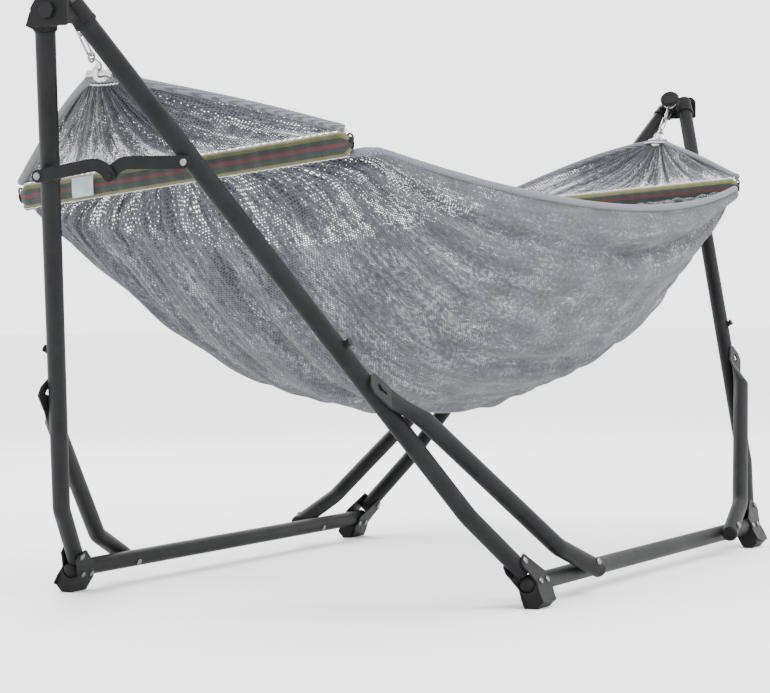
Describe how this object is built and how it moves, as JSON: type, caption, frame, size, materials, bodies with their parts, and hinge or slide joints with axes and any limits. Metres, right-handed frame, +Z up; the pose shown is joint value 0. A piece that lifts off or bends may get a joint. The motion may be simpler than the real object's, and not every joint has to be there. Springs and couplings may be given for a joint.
{
  "type": "hammock on stand",
  "caption": "Netted garden hammock with spreader bars, hung by chains between the apexes of a folding tubular steel stand with two floor rails.",
  "frame": {"origin": "on the floor under the middle of the stand", "axes": "+X along the two floor rails, +Y across the stand, +Z up"},
  "size_m": [2.8852, 1.0212, 1.0234],
  "materials": {
    "frame_black": "satin powder coat",
    "bracket_black": "satin powder coat, pressed plate",
    "plastic_black": "moulded, fine grain",
    "zinc": "zinc plated",
    "chain_chrome": "polished wire",
    "net_grey": "knitted mesh",
    "webbing_stripe": "woven striped webbing",
    "rope_white": "braided cord",
    "wood_black": "lacquered bar"
  },
  "bodies": {
    "side_a": {"rail_a": "frame_black", "leg_a1": "frame_black", "leg_a2": "frame_black", "leg_plugs_a": "plastic_black", "foot_bracket_a1": "bracket_black", "foot_bracket_a2": "bracket_black", "foot_block_a1": "plastic_black", "foot_block_a2": "plastic_black", "rail_caps_a": "plastic_black", "foot_fasteners_a": "zinc", "brace_bolts_a": "zinc", "hook_studs_a": "bracket_black", "hub_a1": "plastic_black", "hub_a2": "plastic_black", "apex_bolt_1": "bracket_black", "apex_bolt_2": "bracket_black", "peg_cap_1": "plastic_black", "peg_cap_2": "plastic_black", "spreader_bolts_a": "zinc"},
    "side_b": {"rail_b": "frame_black", "leg_b1": "frame_black", "leg_b2": "frame_black", "leg_plugs_b": "plastic_black", "foot_bracket_b1": "bracket_black", "foot_bracket_b2": "bracket_black", "foot_block_b1": "plastic_black", "foot_block_b2": "plastic_black", "rail_caps_b": "plastic_black", "foot_fasteners_b": "zinc", "brace_bolts_b": "zinc", "hook_studs_b": "bracket_black", "hub_b1": "plastic_black", "hub_b2": "plastic_black", "spreader_bolts_b": "zinc"},
    "hammock": {"net_bed": "net_grey", "net_end_1": "net_grey", "net_end_2": "net_grey", "spreader_bar_1": "wood_black", "spreader_bar_2": "wood_black", "webbing_1": "webbing_stripe", "webbing_2": "webbing_stripe", "tip_rope_1": "rope_white", "tip_rope_2": "rope_white", "chain_1": "chain_chrome", "chain_2": "chain_chrome"},
    "brace_a1": {"brace_a1": "frame_black", "brace_plug_a1": "plastic_black"},
    "arm_a1": {"spreader_arm_a1": "bracket_black", "spreader_rivet_1": "zinc"},
    "brace_a2": {"brace_a2": "frame_black", "brace_plug_a2": "plastic_black"},
    "arm_a2": {"spreader_arm_a2": "bracket_black", "spreader_rivet_2": "zinc"},
    "brace_b1": {"brace_b1": "frame_black", "brace_plug_b1": "plastic_black"},
    "arm_b1": {"spreader_arm_b1": "bracket_black"},
    "brace_b2": {"brace_b2": "frame_black", "brace_plug_b2": "plastic_black"},
    "arm_b2": {"spreader_arm_b2": "bracket_black"}
  },
  "joints": [
    {"name": "side_fold", "type": "hinge", "parent": "side_a", "child": "side_b", "pos_m": [0, -0.028, 0.985], "axis": [1, 0, 0], "range_deg": [0, 44]},
    {"name": "brace_a1_swing", "type": "hinge", "parent": "side_a", "child": "brace_a1", "pos_m": [-0.396, 0.4901, 0.0577], "axis": [0, 0.8986, 0.4388], "range_deg": [-12, 20]},
    {"name": "arm_a1_fold", "type": "hinge", "parent": "side_a", "child": "arm_a1", "pos_m": [-1.237, 0.11774, 0.7439], "axis": [1, 0, 0], "range_deg": [0, 78.29]},
    {"name": "brace_a2_swing", "type": "hinge", "parent": "side_a", "child": "brace_a2", "pos_m": [0.396, 0.4901, 0.0577], "axis": [0, 0.8986, 0.4388], "range_deg": [-20, 12]},
    {"name": "arm_a2_fold", "type": "hinge", "parent": "side_a", "child": "arm_a2", "pos_m": [1.237, 0.11774, 0.7439], "axis": [1, 0, 0], "range_deg": [0, 78.29]},
    {"name": "brace_b1_swing", "type": "hinge", "parent": "side_b", "child": "brace_b1", "pos_m": [-0.396, -0.49071, 0.05637], "axis": [0, -0.9169, 0.3992], "range_deg": [-20, 12]},
    {"name": "arm_b1_fold", "type": "hinge", "parent": "side_b", "child": "arm_b1", "pos_m": [-1.237, -0.14861, 0.75815], "axis": [1, 0, 0], "range_deg": [-105.44, 0]},
    {"name": "brace_b2_swing", "type": "hinge", "parent": "side_b", "child": "brace_b2", "pos_m": [0.396, -0.49071, 0.05637], "axis": [0, -0.9169, 0.3992], "range_deg": [-12, 20]},
    {"name": "arm_b2_fold", "type": "hinge", "parent": "side_b", "child": "arm_b2", "pos_m": [1.237, -0.14861, 0.75815], "axis": [1, 0, 0], "range_deg": [-105.44, 0]},
    {"name": "hammock_swing", "type": "hinge", "parent": "side_a", "child": "hammock", "pos_m": [0, -0.0211, 0.9972], "axis": [1, 0, 0], "range_deg": [-20, 20]}
  ],
  "couplings": [
    {"joint": "arm_a1_fold", "follows": "side_fold", "ratio": 1.768},
    {"joint": "arm_a2_fold", "follows": "side_fold", "ratio": 1.768},
    {"joint": "arm_b1_fold", "follows": "side_fold", "ratio": -2.385},
    {"joint": "arm_b2_fold", "follows": "side_fold", "ratio": -2.385}
  ]
}
